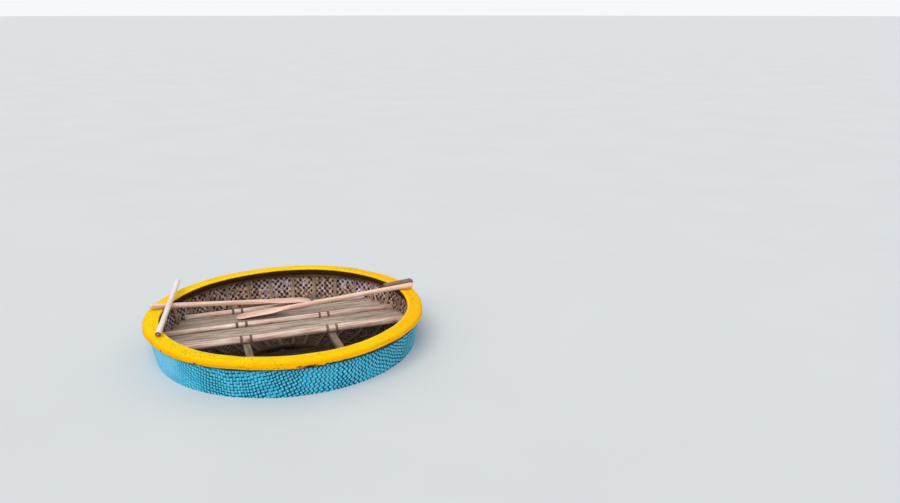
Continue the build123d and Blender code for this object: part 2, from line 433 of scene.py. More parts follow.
def hull_paint():
    """Sky-blue enamel on the weave: pale on the strands, with painted highlights, and dark teal in the gaps,
    partly painted shadow.
    """
    m = Shader("hull_paint", Specular_IOR_Level=0.15)
    patch, speck = m.noise(3.2, 3.0), m.noise(60.0, 3.0)
    across, _, height = m.split(m.place)
    # the grain counts the mat's strands both ways, and odd says which way the upper one runs
    u, v, _ = m.split(m.grain)
    crossing = m.math("FLOOR", u) + m.math("FLOOR", v)
    odd = m.math("GREATER_THAN", m.math("FRACT", crossing * 0.5), 0.25)
    a, b = 0.5 - m.math("FRACT", u), 0.5 - m.math("FRACT", v)
    edge, along = abs(m.choose(odd, a, b)), abs(m.choose(odd, b, a))
    # how low a place is within its strand, -1 to 1, across the strand and along it
    x, y, _ = m.split(m.scaled(m.place, (1, 1, 0), turn=-MAT_TURN))
    radius = m.math("SQRT", x * x + y * y)
    low_u, low_v = x * 2.0 / radius * a, y * 2.0 / radius * b
    low_across, low_along = m.choose(odd, low_u, low_v), m.choose(odd, low_v, low_u)
    streak = m.choose(odd, m.noise((9, 0.9, 0)), m.noise((0.9, 9, 0), offset=(3, 5, 0)))
    # each strand has its own tone along its whole length
    own_tone = m.choose(odd, m.noise((1.3, 0.05, 0), 1.0, offset=(7, 2, 0)), m.noise((0.05, 1.3, 0), 1.0))
    # dark joints on a strand's edges and at the corners, darkened with painted shadow on a strand's lower
    # edge and under its upper neighbour's edge
    own = m.ramp(edge, 0.27, 0.4) * m.ramp(along, 0.42, 0.6, 1, 0) * m.ramp(low_across, -0.25, 0.6, 0.3, 1.15)
    under = m.ramp(along, 0.26, 0.4) * m.ramp(edge, 0.42, 0.6, 1, 0)
    under = under * m.ramp(low_along, -0.6, 0.25, 1.15, 0.3)
    corner = m.ramp(edge, 0.36, 0.48, 0, 0.6) * m.ramp(along, 0.36, 0.48)
    gap = m.math("MAXIMUM", m.math("MAXIMUM", own, under), corner) * (1.0 - m.worn * 0.72)
    # thicker paint closes the joints in patches, most of all at the left end
    from_left = across + patch * 0.2
    gap = gap * m.ramp(m.noise(9.0, 3.0), 0.36, 0.62, 0.5, 1.15) * m.ramp(from_left, -0.85, -0.45, 0.5, 1)
    gap = gap + (streak - 0.5) * 0.35
    # a painted highlight on each strand's crest
    crest_highlight = m.ramp(along, 0.05, 0.4, 1, 0) * m.ramp(edge, 0.2, 0.42, 1, 0)
    # the left end, which faces the key light, is painted paler as painted light, with chalky patches where
    # the paint has worn thin
    left = m.ramp(from_left, -0.82, -0.66, 1, 0)
    chalk = m.ramp(m.noise(30.0, 3.0), 0.52, 0.68, 0, 0.6)
    # grime, old brown coating and painted shade under the rim's overhang, where the shell goes up under the
    # rim
    under_rim = m.ragged(height, 26.0, 4.0, 0.03) + m.ramp(across, 0.1, 0.7, 0, 0.009)
    grime_and_shade = m.ramp(under_rim, 0.2, 0.211, 0, 0.92) * m.ramp(across, -0.9, -0.8, 0.3, 1)
    # below the waterline the paint is duller and stained
    stain = m.ramp(height + patch * 0.05, -0.07, 0.03, 0.55, 0)
    color = m.layers(
        srgb(0.10, 0.67, 0.81),
        (m.ramp(patch, 0.35, 0.7), srgb(0.22, 0.74, 0.88)),
        (m.ramp(own_tone, 0.52, 0.66, 0, 0.45), srgb(0.04, 0.56, 0.74)),
        (m.ramp(own_tone, 0.48, 0.34, 0, 0.5), srgb(0.42, 0.84, 0.93)),
        (m.ramp(speck, 0.62, 0.8, 0, 0.3), srgb(0.06, 0.50, 0.64)),
        # pale streaks along the strands and on their crests: painted highlights
        (m.ramp(streak * 1.2 + crest_highlight * 0.4, 0.62, 1.2, 0, 0.85), srgb(0.55, 0.91, 0.98)),
        (left * 0.75, srgb(0.46, 0.84, 0.98)),
        (left * chalk, srgb(0.66, 0.74, 0.84)),
        # dark teal: the joints, with painted shadow under the strands
        (m.ramp(gap, 0.12, 0.4), srgb(0.02, 0.42, 0.54)),
        (m.ramp(gap, 0.4, 0.7), srgb(0.0, 0.18, 0.27)),
        (grime_and_shade, srgb(0.16, 0.17, 0.06)),
        (stain, srgb(0.22, 0.42, 0.42)),
    )
    rough = m.ramp(m.noise(25.0, 3.0), 0.3, 0.7, 0.38, 0.62)
    return m.finish(color, rough, (streak, 0.35, 0.0015), (speck, 0.25, 0.0008))


def rim_paint():
    """Thick yellow enamel over a bound bamboo hoop, scuffed near the lap joint."""
    m = Shader("rim_paint", Specular_IOR_Level=0.04)
    patch, speck = m.noise(5.0, 3.0), m.noise(85.0, 2.0)
    streak = m.noise((3, 70, 70), 5.0)
    across, _, _ = m.split(m.place)
    # the grain says how far outwards the surface faces, and the way round the rim's section
    _, outward, girth = m.split(m.grain)
    # painted highlights along the top's inner edge and the outer lower edge, whose dark line reaches higher
    # to the right
    shifted_girth = girth - m.ramp(across, -0.2, 0.5, 0, 0.014)
    edge_highlights = [
        m.ramp(abs(place - middle), 0, reach, strength, 0) * m.ramp(streak, 0.35, 0.6, 0.4, 1)
        for place, middle, reach, strength in ((girth, 0.164, 0.007, 0.75), (shifted_girth, 0.026, 0.006, 0.6))
    ]
    specks = speck * m.ramp(patch, 0.35, 0.7, 0.75, 1.08)
    scuff = m.ragged(m.worn, 70.0, 5.0, 0.9)
    # a dark line of old dirt and painted shade on the rim's underside, where the rim meets the weave outside
    dirt = m.ramp(m.ragged(shifted_girth, 30.0, 3.0, 0.006), 0.011, 0.018, 0.95, 0)
    color = m.layers(
        srgb(0.97, 0.79, 0.0),
        (m.ramp(patch, 0.3, 0.7), srgb(0.99, 0.83, 0.0)),
        # painted shade: the outer face, turned away from the light above, is a deeper orange
        (m.ramp(outward, 0, 1) * 0.9, srgb(0.98, 0.70, 0.0)),
        (m.ramp(across + patch * 0.3, 0.5, 1, 0, 0.5), srgb(0.99, 0.67, 0.0)),
        (m.ramp(streak, 0.5, 0.78, 0, 0.5), srgb(0.93, 0.64, 0.0)),
        (m.ramp(streak, 0.44, 0.28, 0, 0.4), srgb(1.0, 0.88, 0.12)),
        *((share, srgb(1.0, 0.90, 0.42)) for share in edge_highlights),
        (m.ramp(specks, 0.58, 0.68, 0, 0.75), srgb(0.62, 0.40, 0.05)),
        (m.ramp(m.noise(17.0, 3.0), 0.56, 0.72, 0, 0.45), srgb(0.97, 0.66, 0.0)),
        (m.ramp(scuff, 0.35, 0.6), srgb(0.78, 0.52, 0.10)),
        (m.ramp(scuff, 0.62, 0.85), srgb(0.25, 0.13, 0.05)),
        # the inner face is dark brown below its rounded edge
        (m.ramp(m.ragged(girth, 40.0, 3.0, 0.008), 0.176, 0.184), srgb(0.26, 0.15, 0.07)),
        (dirt * m.ramp(across, -0.9, -0.8, 0.2, 1), srgb(0.22, 0.22, 0.05)),
    )
    rough = m.ramp(m.noise(18.0, 3.0), 0.3, 0.7, 0.48, 0.7)
    return m.finish(color, rough, (streak, 0.3, 0.002), (m.ramp(scuff, 0.35, 0.7, 1, 0), 0.5, 0.0012))


def wood(name, dark, middle, light, roughness, grey, knots, dirt, fine, blush=None):
    """Wood with grain along the piece, knots, weathering and dirt."""
    m = Shader(name)
    dark, middle, light = srgb(*dark), srgb(*middle), srgb(*light)
    bend = m.noise((3, 12, 12), 2.0)
    along = m.noise((4, 110 * fine, 110 * fine), 6.0, 0.6, 0.4)
    pores = m.noise((25, 700 * fine, 700 * fine), 3.0)
    coats = [
        (m.ramp(along, 0.32, 0.68), middle),
        (m.ramp(along + bend * 0.4, 0.62, 0.9), light),
        (m.ramp(pores, 0.5, 0.72, 0, 0.45), dark),
        (m.ramp(m.noise(6.0), 0.35, 0.7, 0, grey), srgb(0.62, 0.58, 0.53)),
    ]
    if blush:
        coats.append((m.ramp(m.noise(2.2, 2.0), 0.42, 0.6, 0, 0.3), srgb(*blush)))
    if knots:
        cells = {"Vector": m.scaled(m.grain, (3.2, 14, 14)), "Scale": 1.0}
        coats.append((m.ramp(m.node("TexVoronoi", "Distance", cells), 0.02, 0.14, knots, 0), dim(dark, 0.3)))
    # worn is above 0 on bare, rubbed edges and below 0 in dirty corners and on cut ends
    color = m.layers(
        dark, *coats,
        (m.ramp(m.noise(14.0, 6.0, 0.65), 0.5, 0.75, 0, dirt), dim(dark, 0.35)),
        (m.ramp(m.worn, 0, 1, 0, 0.5), light),
        (m.ramp(m.worn, -1, 0, 0.75, 0), dim(dark, 0.4)),
    )
    rough = m.ramp(along, 0.3, 0.7, roughness - 0.1, min(1.0, roughness + 0.12))
    return m.finish(color, rough, (along, 0.5, 0.0012), (pores, 0.3, 0.0004))


def lining():
    """Bare plaited bamboo: each strand has its own tone, and fibres run along it."""
    m = Shader("lining_bamboo")
    fibre, tone = m.noise((8, 260, 1), 5.0), m.noise((12, 45, 1), 2.0, offset=(3, 1, 7))
    across, _, height = m.split(m.place)
    grey = m.ramp(m.noise(5.0), 0.45, 0.62, 0, 0.85) * m.ramp(across, -0.2, 0.7, 0.35, 1)
    color = m.layers(
        srgb(0.86, 0.62, 0.50),
        (m.ramp(fibre, 0.3, 0.7), srgb(1.0, 0.91, 0.81)),
        (m.ramp(tone, 0.42, 0.58, 0, 0.85), srgb(0.42, 0.21, 0.14)),
        (grey * m.ramp(height, -0.06, 0.1, 0.12, 1), srgb(0.93, 0.87, 0.96)),
        (m.ramp(m.worn, 0.3, 0.62), srgb(0.06, 0.02, 0.015)),
        # painted shade: darker towards the bottom of the bowl
        (m.ramp(height, -0.12, 0.1, 0.55, 0), srgb(0.33, 0.24, 0.16)),
    )
    return m.finish(color, m.ramp(fibre, 0.3, 0.7, 0.5, 0.8), (fibre, 0.5, 0.001))


def iron():
    m = Shader("nail_iron", Metallic=0.7)
    rust = m.noise(400.0)
    color = m.layers(srgb(0.33, 0.29, 0.27), (m.ramp(rust, 0.4, 0.62), srgb(0.36, 0.20, 0.11)))
    return m.finish(color, m.ramp(rust, 0.4, 0.6, 0.45, 0.8), (rust, 0.4, 0.0004))


HULL_PAINT = hull_paint()
RIM_PAINT = rim_paint()
LINING = lining()
IRON = iron()
LOOKS = {
    # name: dark, middle and light tone, roughness, grey, knots, dirt, how fine the grain is, and blush
    "rib_bamboo": ((0.42, 0.31, 0.23), (0.68, 0.56, 0.44), (0.82, 0.73, 0.62), 0.5, 0.3, 0, 0.4, 1.6),
    "hoop_bamboo": ((0.24, 0.16, 0.10), (0.43, 0.30, 0.19), (0.60, 0.47, 0.32), 0.55, 0.2, 0, 0.5, 1.6),
    "beam_wood": ((0.30, 0.22, 0.16), (0.48, 0.38, 0.29), (0.60, 0.51, 0.41), 0.8, 0.4, 0.5, 0.5, 1),
    "slat_wood": ((0.46, 0.37, 0.31), (0.71, 0.61, 0.53), (0.85, 0.77, 0.70), 0.75, 0.45, 0.5, 0.35, 1),
    "floor_wood": ((0.24, 0.18, 0.13), (0.42, 0.34, 0.26), (0.55, 0.47, 0.38), 0.6, 0.35, 0.5, 0.6, 1),
    "pole_wood": ((0.74, 0.57, 0.49), (0.96, 0.83, 0.76), (1.0, 0.93, 0.88), 0.6, 0.12, 0.6, 0.24, 0.7),
    "loose_wood": ((0.94, 0.82, 0.77), (1.0, 0.94, 0.91), (1.0, 0.98, 0.96), 0.55, 0, 0.25, 0.08, 0.6),
    "end_grain": ((0.22, 0.07, 0.04), (0.34, 0.12, 0.08), (0.85, 0.62, 0.52), 0.7, 0, 0, 0.2, 1),
    "paddle_wood": (
        (0.86, 0.68, 0.56), (0.97, 0.84, 0.73), (1.0, 0.92, 0.84), 0.5, 0.03, 0, 0.1, 1, (1.0, 0.74, 0.72),
    ),
    "lashing_cord": ((0.33, 0.24, 0.16), (0.55, 0.42, 0.30), (0.68, 0.56, 0.43), 0.9, 0.1, 0, 0.4, 3),
    "plank_wood": ((0.30, 0.18, 0.11), (0.52, 0.36, 0.25), (0.64, 0.48, 0.36), 0.6, 0.15, 0.3, 0.4, 1),
}
WOOD = {name: wood(name, *looks) for name, looks in LOOKS.items()}


# Woven hull: an outer skin with the painted weave, and a lining with the bare one
def add_backing(b, top_ring, top_grain, inset, columns, rows, slot):
    """The side of a hull half that lies hidden in the shell: it closes the form at top edge and middle."""
    s = np.concatenate([[0.0], np.linspace(0.03, s_at_radius(0.05), rows)])[:, None]
    radius, height = on_profile(s, inset)
    grain = plain_grain(columns, TAU, s)
    first = grid(b, round_points(round_numbers(columns), radius, height), grain, 0.5, slot)
    bridge(b, top_ring, first + np.arange(columns), top_grain, grain[0])
    centre = b.add([[0, 0, -DRAFT + inset]], 0.5)
    bridge(b, first + rows * columns + np.arange(columns), [centre], grain[-1], np.zeros((2, 3)), slot)


def mat_place(theta, s):
    """Place, counted in strands, on the flat square-woven mat that was pressed into the bowl."""
    reach = (PROFILE_LENGTH - s) / STRAND
    u, v = reach * np.cos(theta - MAT_TURN), reach * np.sin(theta - MAT_TURN)
    wander_u = 0.16 * np.sin(0.37 * v + 1.0) + 0.10 * np.sin(0.91 * v + 2.0) + 0.16 * np.sin(0.83 * u + 0.7)
    wander_v = 0.16 * np.sin(0.41 * u + 4.0) + 0.10 * np.sin(0.87 * u + 0.5) + 0.16 * np.sin(0.79 * v + 2.6)
    return u + wander_u, v + wander_v


def plait(u, v, fill):
    """Depth of the weave below its crests: each strand goes over one and under the next.

    fill is how much of the relief thick paint has levelled."""
    i, j = np.floor(u).astype(int), np.floor(v).astype(int)
    a, b = np.abs(u - i - 0.5), np.abs(v - j - 0.5)
    even = (i + j) % 2 == 0
    edge, along = np.where(even, a, b), np.where(even, b, a)
    lift = np.random.default_rng(11).normal(0, 0.0002, (61, 67))[i % 61, j % 67]
    depth = 0.0022 * (1 - np.cos(math.pi * along)) + 0.0012 * smooth((edge - 0.34) / 0.14) + lift
    return np.clip(depth, 0, 0.0046) * (1 - 0.6 * fill)


def build_skin():
    b = Builder(1)
    stretches = (
        # end of the stretch down the profile, distance between rings, points in a ring
        (s_at_height(-0.02), 0.0060, 864),
        (s_at_radius(BILGE_RADIUS), 0.0105, 864),
        (s_at_radius(0.37), 0.0105, 432),
        (s_at_radius(0.185), 0.0105, 216),
        (s_at_radius(0.09), 0.0105, 108),
        (s_at_radius(0.03), 0.0105, 54),
    )
    s_from, before = 0.0, None
    for s_to, pitch, count in stretches:
        rings = round((s_to - s_from) / pitch)
        s = s_from + np.arange(rings)[:, None] * (s_to - s_from) / rings
        theta = np.arange(count + 1)[None, :] * TAU / count
        u, v = mat_place(theta, s)
        near_left = np.exp(-(((np.degrees(theta) - 198) / 26) ** 4)) * (0.75 + 0.25 * bell(s, 0.12))
        fill = np.clip(0.1 + 0.2 * waves(theta, 55, 2, 8) + 0.9 * near_left, 0, 1)
        # the weave fades out where the rim clamps it
        fade = np.clip(1 - s / 0.012, 0, 1)
        radius, height = on_profile(s, plait(u, v, fill) * (1 - fade) + 0.001 * fade)
        grain = np.stack([u, v, 0 * u], -1)
        first = grid(b, round_points(theta, radius, height)[:, :-1], grain, fill[:, :-1])
        ring = first + np.arange(count)
        if before is None:
            top_ring, top_grain = ring, grain[0]
        else:
            bridge(b, *before[:1], ring, *before[1:], grain[0])
        before = (ring + (rings - 1) * count, grain[-1])
        s_from = s_to
    centre = b.add([[0, 0, -DRAFT + 0.0006]], 0.3)
    bridge(b, before[0], [centre], before[1], np.array([[0.0, 0.0, 0.5]] * 2))
    add_backing(b, top_ring, top_grain, SKIN_MIDDLE, len(top_ring) // 8, 40, 1)
    return b.make("hull_skin", [HULL_PAINT, LINING], "hull_paint", ["hull_shell"])


def build_lining():
    """The bare inside: diagonal plaiting on the side, rings of plaiting across the bottom."""
    b = Builder(2)
    columns = 256
    bilge = s_at_radius(BILGE_RADIUS, SHELL)
    rings = 2 * round(bilge / 0.0118 / 2)
    strand = TAU * 0.95 / columns
    # p and q count the strands that slant one way and the other
    k, i = np.arange(rings + 1)[:, None], np.arange(columns)[None, :]
    p, q = i + (k + 1) // 2, i - k // 2
    theta = (i + 0.5 * (k % 2)) * TAU / columns
    s = k * bilge / rings + 0 * theta
    depth = 0.0008 * ((p % 2 == 0) * 1.0 + (q % 2 == 0))
    # some holes between the strands are smudged shut
    gap = depth / 0.0016 * np.clip(b.random.normal(0.85, 0.3, depth.shape), 0.25, 1.1)
    depth[-1], gap[-1] = 0.0008, 0.25
    radius, height = on_profile(s, SHELL - depth)
    first = b.add(round_points(theta, radius, height), gap)
    # a diamond for each point, which is its left corner
    ring = k[1:-1]
    p, q = p[1:-1], q[1:-1]
    above = (i + ring % 2) % columns
    beside = ring * columns + (i + 1) % columns
    faces = [(ring - 1) * columns + above, beside, (ring + 1) * columns + above, ring * columns + i]
    slant = (p // 2 + q // 2) % 2 == 1
    corners = []
    for dp, dq in ((0, 1), (1, 1), (1, 0), (0, 0)):
        along, over = (p + dp) * strand, (q + dq) * strand
        corners.append(np.stack([np.where(slant, along, over), np.where(slant, over, along), 0 * along], -1))
    b.put(first + np.stack(faces, -1).reshape(-1, 4), np.stack(corners, -2))
    # triangles close the top edge and the edge at the bilge
    column = np.arange(columns)
    spots = np.zeros((columns, 3, 3))
    spots[..., 0] = column[:, None] * strand
    for ring, other in ((0, 1), (rings, rings - 1)):
        here = ring * columns
        faces = [here + column, here + (column + 1) % columns, other * columns + column]
        b.put(first + np.stack(faces, 1), spots)
    flat_grain = plain_grain(columns, columns * strand, np.zeros(1))[0]
    top_ring = first + column
    before = (top_ring + rings * columns, flat_grain)
    s_from = bilge
    for s_to, count, pitch in (
        # end of the stretch down the profile, points in a ring, width of two strands
        (s_at_radius(0.36), 128, 0.03),
        (s_at_radius(0.17), 64, 0.03),
        (s_at_radius(0.06), 32, 0.024),
        (s_at_radius(0.02), 16, 0.02),
    ):
        number = round((s_to - s_from) / pitch) * 2
        s = s_from + np.arange(1, number + 1)[:, None] * (s_to - s_from) / number
        checks = (np.arange(number)[:, None] + np.arange(count)[None, :]) % 2
        radius, height = on_profile(s, SHELL - 0.0012 * checks)
        grain = plain_grain(count, TAU * 0.5, s)
        start = grid(b, round_points(round_numbers(count), radius, height), grain, checks * 0.7)
        bridge(b, before[0], start + np.arange(count), before[1], grain[0])
        before = (start + (number - 1) * count + np.arange(count), grain[-1])
        s_from = s_to
    centre = b.add([[0, 0, -DRAFT + SHELL]], 0.2)
    bridge(b, before[0], [centre], before[1], np.zeros((2, 3)))
    add_backing(b, top_ring, flat_grain, SKIN_MIDDLE + 0.0003, 64, 36, 0)
    return b.make("hull_lining", [LINING], "rib_bamboo", ["hull_shell"])


build_skin()
build_lining()


# Bars and strands: a section swept along a line
def corner_section(width, depth, rounds, steps, flats):
    """Outline of a bar with rounded corners, how near each point is to a corner, and where it faces.

    rounds are the radii at upper right, upper left, lower left and lower right. A corner has one point
    more than steps, and flats are the points on the flat after each."""
    signs = ((1, 1), (-1, 1), (-1, -1), (1, -1))

    def on_corner(corner, angle):
        radius, (sx, sy) = rounds[corner % 4], signs[corner % 4]
        x = sx * (width / 2 - radius) + radius * math.cos(angle)
        return x, sy * (depth / 2 - radius) + radius * math.sin(angle)

    points, edges, facing = [], [], []
    for corner, flat in enumerate(flats):
        angles = [math.radians(90 * (corner + step / steps)) for step in range(steps + 1)]
        points += [on_corner(corner, angle) for angle in angles]
        begin, end = points[-1], on_corner(corner + 1, angles[-1])
        for f in np.arange(1, flat + 1) / (flat + 1):
            points.append((begin[0] * (1 - f) + end[0] * f, begin[1] * (1 - f) + end[1] * f))
        edges += [1.0] * (steps + 1) + [0.0] * flat
        facing += [(math.cos(angle), math.sin(angle)) for angle in angles + angles[-1:] * flat]
    return np.array(points), np.array(edges), np.array(facing)


def sweep(b, centres, across, up, sections, worn, closed=False, offset=None,
          cap_tone=-0.5, cap_rings=((0.97, 0.0008), (0.8, 0.001)), cap_slot=0):
    """Skin round a line of centres. across, up and the section may be the same all along.

    cap_rings are the scale and the push outwards of the rings on each end, from the edge in."""
    count, size = len(centres), sections.shape[-2]
    across, up = (np.broadcast_to(v, (count, 3)) for v in (across, up))
    sections, worn = np.broadcast_to(sections, (count, size, 2)), np.broadcast_to(worn, (count, size))
    points = centres[:, None] + across[:, None] * sections[..., :1] + up[:, None] * sections[..., 1:]
    steps = np.linalg.norm(np.diff(centres, axis=0, append=centres[:1]), axis=1)
    s = np.concatenate([[0], np.cumsum(steps)])
    if offset is None:
        offset = b.random.uniform(0, 40, 3)
    grain = np.pad(sections, ((0, 1), (0, 1), (1, 0)), mode="wrap")
    grain[..., 0] = s[:, None]
    grain = grain + offset
    first = grid(b, points, grain, worn, closed=closed)
    if closed:
        return
    tones = cap_tone if isinstance(cap_tone, tuple) else (cap_tone,) * (len(cap_rings) + 1)
    for end, inside in ((0, 1), (count - 1, count - 2)):
        along = np.cross(across[end], up[end])
        along *= np.sign(np.dot(along, centres[end] - centres[inside]))
        ring, ring_grain = first + end * size + np.arange(size), grain[end]
        for (scale, push), tone in zip(cap_rings, tones):
            inner = sections[end] * scale
            spots = centres[end] + across[end] * inner[:, :1] + up[end] * inner[:, 1:] + along * push
            inner_ring = b.add(spots, tone) + np.arange(size)
            inner = np.concatenate([inner, inner[:1]])
            inner_grain = np.concatenate([np.full((size + 1, 1), s[end]), inner], 1) + offset
            bridge(b, ring, inner_ring, ring_grain, inner_grain, cap_slot)
            ring, ring_grain = inner_ring, inner_grain
        middle = b.add([centres[end] + along * (cap_rings[-1][1] + 0.0004)], tones[-1])
        bridge(b, ring, [middle], ring_grain, np.array([[s[end], 0, 0]] * 2) + offset, cap_slot)


def bar(b, start, end, section, worn, stations=40, bow=0.0015, swell=0.0, **more):
    """A straight piece of wood between two points, slightly bowed and uneven."""
    length, along = np.linalg.norm(end - start), unit(end - start)
    across = unit(np.cross(along, UP))
    up = np.cross(across, along)
    t = np.linspace(0, 1, stations)
    seeds = b.random.integers(0, 10**6, 4)
    side = bow * (noise(t * length, seeds[0], 0.4) + 0.4 * noise(t * length, seeds[1], 0.12))
    rise = 0.4 * bow * noise(t * length, seeds[2], 0.35) * 4 * t * (1 - t)
    centres = start + along * (t * length)[:, None] + across * side[:, None] + up * rise[:, None]
    sections = section * (1 + swell * noise(t * length, seeds[3], 0.15))[:, None, None]
    sweep(b, centres, across, up, sections, worn, **more)


# Rim: a thick painted hoop
def build_rim():
    b = Builder(4)
    # the outline starts at the outer lower corner, whose 7 points come last in the section
    rounds = (RIM_OUTER_ROUND, RIM_INNER_ROUND, RIM_INNER_ROUND, RIM_OUTER_ROUND)
    section = corner_section(RIM_WIDTH, RIM_DEPTH, rounds, 5, (4, 1, 3, 1))
    outline, _, normals = (np.roll(values, 7, 0) for values in section)
    outline = outline + (RIM_RADIUS - RIM_WIDTH / 2, FREEBOARD - RIM_DEPTH / 2)
    size, count = len(outline), 480
    theta = round_numbers(count)
    degrees = np.degrees(theta)[:, None]
    lengths = np.concatenate([[0], np.cumsum(np.hypot(*np.diff(outline, axis=0, append=outline[:1]).T))])
    # the bound strips under the paint show as shallow hollows along the hoop
    strips = 0.0011 * np.abs(np.sin(math.pi * lengths[:-1] / 0.0235)) ** 0.7 - 0.0011
    out = strips + 0.0014 * np.stack([waves(theta, 300 + j // 3, 4, 36) for j in range(size)], 1)
    lumps = 0.0022 * waves(theta, 403, 12, 44)[:, None] * np.abs(np.abs(normals[:, 0]) - 0.5) * 2
    out = out + lumps - 0.0012
    sway = 0.0042 * waves(theta, 401, 2, 9)[:, None]
    dip = 0.0028 * waves(theta, 402, 2, 8)[:, None] - 0.0028
    radius = outline[:, 0] + out * normals[:, 0] + sway - 0.0035
    height = outline[:, 1] + out * normals[:, 1] + dip
    # lap joint: left of it the lower edge hangs lower and stands prouder
    lap_from, lap_to = 238.0, 274.8
    lap = (np.clip((degrees - lap_from) / (lap_to - lap_from), 0, 1) * (degrees <= lap_to)) ** 1.5
    low = np.clip((FREEBOARD - 0.022 - outline[:, 1]) / 0.03, 0, 1)
    low = low * np.clip((outline[:, 0] - 0.985) / 0.02, 0, 1)
    height = height - 0.008 * lap * low
    radius = radius + 0.0025 * lap * np.clip(normals[:, 0], 0, 1)
    worn = np.zeros((count, size))
    for angle, high, wide, tall, depth, strength in (
        # dents and scuffs: angle round the rim, height, width, tallness, depth, how bare it is
        (269.0, 0.238, 0.070, 0.014, 0.0014, 1.05),
        (272.8, 0.230, 0.024, 0.012, 0.0030, 1.2),
        (265.2, 0.243, 0.024, 0.009, 0.0012, 0.95),
        (275.2, 0.231, 0.016, 0.014, 0.0050, 1.25),
        (277.6, 0.233, 0.016, 0.009, 0.0030, 1.1),
        (282.0, 0.238, 0.030, 0.007, 0.0010, 0.7),
        (225.8, 0.234, 0.016, 0.011, 0.0050, 1.25),
        (228.6, 0.229, 0.012, 0.007, 0.0030, 1.0),
        (207.2, 0.244, 0.012, 0.009, 0.0035, 1.2),
        (213.2, 0.234, 0.012, 0.007, 0.0030, 1.1),
        (251.0, 0.228, 0.018, 0.005, 0.0012, 0.6),
        (288.0, 0.230, 0.016, 0.005, 0.0015, 0.65),
        (301.0, 0.229, 0.012, 0.005, 0.0020, 0.7),
        (330.0, 0.232, 0.022, 0.008, 0.0015, 0.7),
        (20.0, 0.235, 0.020, 0.008, 0.0020, 0.8),
        (58.0, 0.230, 0.030, 0.008, 0.0020, 0.9),
        (96.0, 0.240, 0.016, 0.010, 0.0030, 0.9),
        (131.0, 0.230, 0.026, 0.007, 0.0015, 0.8),
        (162.0, 0.238, 0.014, 0.009, 0.0030, 0.9),
        (186.0, 0.229, 0.020, 0.006, 0.0020, 0.8),
    ):
        where = bell(np.radians(degrees - angle) * RIM_RADIUS, wide) * bell(outline[:, 1] - high, tall)
        where = where * (outline[:, 0] > 1.001)
        worn = np.maximum(worn, strength * where)
        radius = radius - depth * where
    radius, height = np.minimum(radius, RIM_RADIUS), np.minimum(height, FREEBOARD)
    grain = np.zeros((count + 1, size + 1, 3))
    grain[..., 0] = (np.arange(count + 1) * TAU / count)[:, None]
    grain[..., 1] = np.pad(np.clip(normals[:, 0], 0, 1) ** 1.2, (0, 1), mode="wrap")
    grain[..., 2] = lengths
    grid(b, round_points(theta[:, None], radius, height), grain, worn, closed=True)
    return b.make("rim_hoop", [RIM_PAINT], "rim_paint", ["rim"])


build_rim()


# Ribs: split bamboo battens bent into the bowl
def build_ribs(name, node, foot, turn, seed):
    b = Builder(seed)
    s_end = s_at_radius(foot, RIB_MIDDLE)
    t = np.linspace(0.004, s_end, round(s_end / 0.022))
    radius, height = on_profile(t, RIB_MIDDLE)
    heading = np.interp(t, PROFILE_S, PROFILE_HEADINGS)[:, None]
    rounds = (0.003, 0.003, 0.0015, 0.0015)
    section, edges, _ = corner_section(RIB_WIDTH, RIB_THICKNESS - 0.0008, rounds, 2, (1, 1, 1, 1))
    for number in range(RIBS):
        angle = (number + turn) * TAU / RIBS
        seeds = b.random.integers(0, 10**6, 3)
        drift = 0.0022 * noise(t, seeds[0], 0.3)
        outward = np.array([math.cos(angle), math.sin(angle), 0.0])
        sideways = np.array([-math.sin(angle), math.cos(angle), 0.0])
        centres = radius[:, None] * outward + height[:, None] * UP + drift[:, None] * sideways
        up = np.cos(heading) * UP - np.sin(heading) * outward
        joints = np.arange(b.random.uniform(0.05, 0.25), s_end, 0.29)
        near = bell(t[:, None] - joints, 0.007).sum(1)
        wide = 1 + 0.04 * noise(t, seeds[1], 0.2) + 0.05 * near
        sections = section * np.stack([wide, np.ones_like(wide)], 1)[:, None]
        tone = 0.35 * edges - 0.7 * near[:, None] + 0.2 * noise(t, seeds[2], 0.1)[:, None]
        sweep(b, centres, sideways, up, sections, tone, cap_tone=-0.3)
    return b.make(name, [WOOD["rib_bamboo"]], "rib_bamboo", [node], sharp=50)


# piece, node, radius where the feet end, turn in shares of the spacing, seed
build_ribs("battens_long", "ribs_long", 0.150, 0.0, 5)
build_ribs("battens_short", "ribs_short", 0.430, 0.5, 6)


# Hoops inside the ribs
def bend_hoop(b, name, node, count, radius, height, sections, tone):
    """A closed hoop of this radius round the axis, with count stations."""
    outward = round_points(round_numbers(count), 1.0, 0.0)
    sweep(b, outward * radius + UP * height, outward, UP, sections, tone, closed=True, offset=np.zeros(3))
    return b.make(name, [WOOD["hoop_bamboo"]], "hoop_bamboo", [node], sharp=50)


def build_hoop(name, node, low, top, thickness, seed, grooved=False):
    count, depth, inset = 240, top - low, CAGE + thickness / 2
    middle_s = (s_at_height(low, inset) + s_at_height(top, inset)) / 2
    heading = np.interp(middle_s, PROFILE_S, PROFILE_HEADINGS)
    section, edges, _ = corner_section(thickness - 0.0006, depth, (0.004,) * 4, 2, (3,) * 4)
    if grooved:
        # two battens side by side leave a shallow groove between them
        section[:, 1] -= 0.0022 * bell(section[:, 0], 0.0025) * np.sign(section[:, 1])
    # the section leans with the wall, apart from its flat top
    lean = (section[:, 1] - depth / 2) / math.tan(heading)
    theta = round_numbers(count)
    joints = np.arange(0.1, TAU, 0.34)
    near = bell(theta[:, None] - joints, 0.009).sum(1)
    sections = np.broadcast_to(section, (count, *section.shape)).copy()
    sections[..., 0] = sections[..., 0] * (1 + 0.012 * waves(theta, seed + 50, 4, 30))[:, None] + lean
    tone = 0.3 * edges - 0.8 * near[:, None] + 0.25 * waves(theta, seed + 60, 3, 20)[:, None]
    radius = on_profile(s_at_height(top, inset), inset)[0]
    bend_hoop(Builder(seed), name, node, count, radius, (low + top) / 2, sections, tone)


